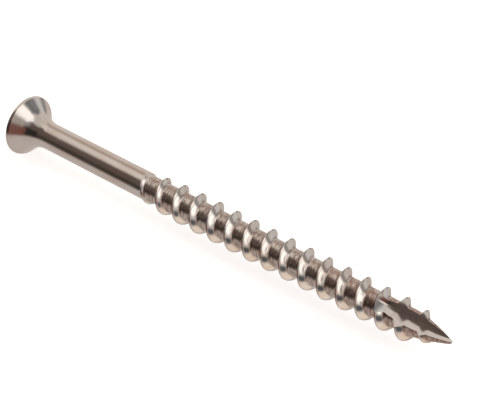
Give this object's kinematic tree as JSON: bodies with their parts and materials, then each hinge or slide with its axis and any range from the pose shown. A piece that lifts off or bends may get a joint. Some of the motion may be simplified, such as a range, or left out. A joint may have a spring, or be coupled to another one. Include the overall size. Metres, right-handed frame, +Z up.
{
  "type": "wood screw",
  "caption": "Countersunk wood screw in stainless steel with a square recess, a plain shank, a coarse right-hand thread and a fluted self-drilling point.",
  "frame": {"origin": "centre of the head's flat top face, on the screw's axis, where the face is flush with the wood", "axes": "+X along the screw's axis from the head to the point, +Z and +Y square to two sides of the recess; the screw lies on its side with +Z up"},
  "size_m": [0.0635, 0.0074, 0.0074],
  "materials": {
    "stainless_steel": "bright rolled stainless steel with a faint warm tint, glossy on the shank and thread, finely matt on the head's face"
  },
  "bodies": {
    "root": {"wood_screw": "stainless_steel"}
  },
  "joints": []
}
